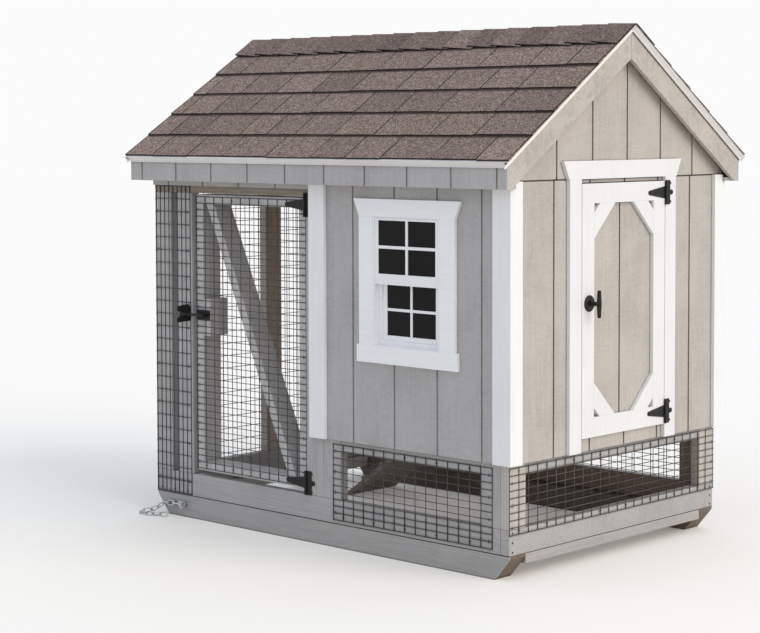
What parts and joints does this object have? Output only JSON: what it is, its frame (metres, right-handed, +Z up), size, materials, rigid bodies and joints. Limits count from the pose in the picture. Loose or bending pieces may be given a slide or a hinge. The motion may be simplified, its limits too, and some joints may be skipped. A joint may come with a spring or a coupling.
{
  "type": "chicken coop",
  "caption": "Small gabled hen house on skids with an attached wire run: a hinged mesh door, a hinged house door with a tee handle, a sliding sash and a hatch with a ramp between house and run.",
  "frame": {"origin": "on the ground under the middle of the coop, at the centre of its footprint box and at the skids' underside", "axes": "+X along the ridge towards the house end, -Y towards the front with the run door and window, +Z up"},
  "size_m": [1.9864, 1.416, 1.9144],
  "materials": {
    "painted_siding": "warm grey paint over textured grooved sheet siding",
    "painted_timber": "warm grey stain on sawn timber",
    "bare_timber": "bare softwood and sheet",
    "white_trim": "satin white paint",
    "white_window": "white vinyl",
    "window_glass": "clear glass that reads dark",
    "white_metal": "white coated sheet metal",
    "shingle": "brown mineral granules on asphalt",
    "black_wire": "black vinyl coating",
    "black_hardware": "satin black",
    "galvanised_steel": "galvanised"
  },
  "bodies": {
    "frame": {"back_meshes": "black_wire", "back_siding": "painted_siding", "back_wall_studs": "painted_timber", "bottom_rails": "painted_timber", "door_stops": "bare_timber", "door_trim": "white_trim", "drip_edges": "white_metal", "end_meshes": "black_wire", "end_wall_studs": "painted_timber", "fascias": "painted_siding", "floor_joists": "painted_timber", "floor_panel": "bare_timber", "front_meshes": "black_wire", "front_siding": "painted_siding", "front_wall_studs": "painted_timber", "gable_sidings": "painted_siding", "gate_latch_body": "black_hardware", "hinge_leaves": "black_hardware", "hinge_pins": "black_hardware", "house_end_siding": "painted_siding", "nest_boxes": "bare_timber", "partition_panel": "bare_timber", "pop_door_guides": "bare_timber", "rafters": "bare_timber", "rake_boards": "painted_siding", "ramp": "bare_timber", "ridge_board": "bare_timber", "ridge_cap": "shingle", "roof_deck": "bare_timber", "roof_shingles": "shingle", "roost_bars": "bare_timber", "run_door_posts": "painted_timber", "run_friezes": "painted_siding", "skid_ties": "painted_timber", "skids": "painted_timber", "soffits": "painted_siding", "top_plates": "painted_timber", "tow_chain": "galvanised_steel", "upper_glass": "window_glass", "upper_sash": "white_window", "wall_trims": "white_trim", "window_frame": "white_window", "window_trim": "white_trim"},
    "run_door": {"run_door_frame": "painted_timber", "run_door_brace": "painted_timber", "run_door_latch_block": "painted_timber", "run_door_mesh": "black_wire", "run_door_straps": "black_hardware", "gate_latch_striker": "black_hardware"},
    "house_door": {"house_door_panel": "painted_siding", "house_door_frame": "white_trim", "house_door_braces": "white_trim", "house_door_straps": "black_hardware", "handle_rosette": "black_hardware"},
    "door_handle": {"tee_handle": "black_hardware", "latch_bar": "black_hardware"},
    "latch_catch": {"gate_latch_catch": "black_hardware"},
    "window_sash": {"lower_sash": "white_window", "lower_glass": "window_glass"},
    "hatch": {"pop_door": "bare_timber"}
  },
  "joints": [
    {"name": "run_door_hinge", "type": "hinge", "parent": "frame", "child": "run_door", "pos_m": [-0.064, -0.6149, 0.74], "axis": [0, 0, 1], "range_deg": [0, 135]},
    {"name": "house_door_hinge", "type": "hinge", "parent": "frame", "child": "house_door", "pos_m": [0.9487, 0.2485, 0.9], "axis": [0, 0, 1], "range_deg": [0, 165]},
    {"name": "tee_handle_turn", "type": "hinge", "parent": "house_door", "child": "door_handle", "pos_m": [0.9434, -0.207, 0.925], "axis": [1, 0, 0], "range_deg": [0, 90]},
    {"name": "gate_catch_pivot", "type": "hinge", "parent": "frame", "child": "latch_catch", "pos_m": [-0.7145, -0.62865, 0.837], "axis": [1, 0, 0], "range_deg": [0, 42]},
    {"name": "sash_slide", "type": "slide", "parent": "frame", "child": "window_sash", "axis": [0, 0, 1], "range_m": [0, 0.2]},
    {"name": "pop_door_slide", "type": "slide", "parent": "frame", "child": "hatch", "axis": [0, 0, 1], "range_m": [-0.352, 0]}
  ]
}
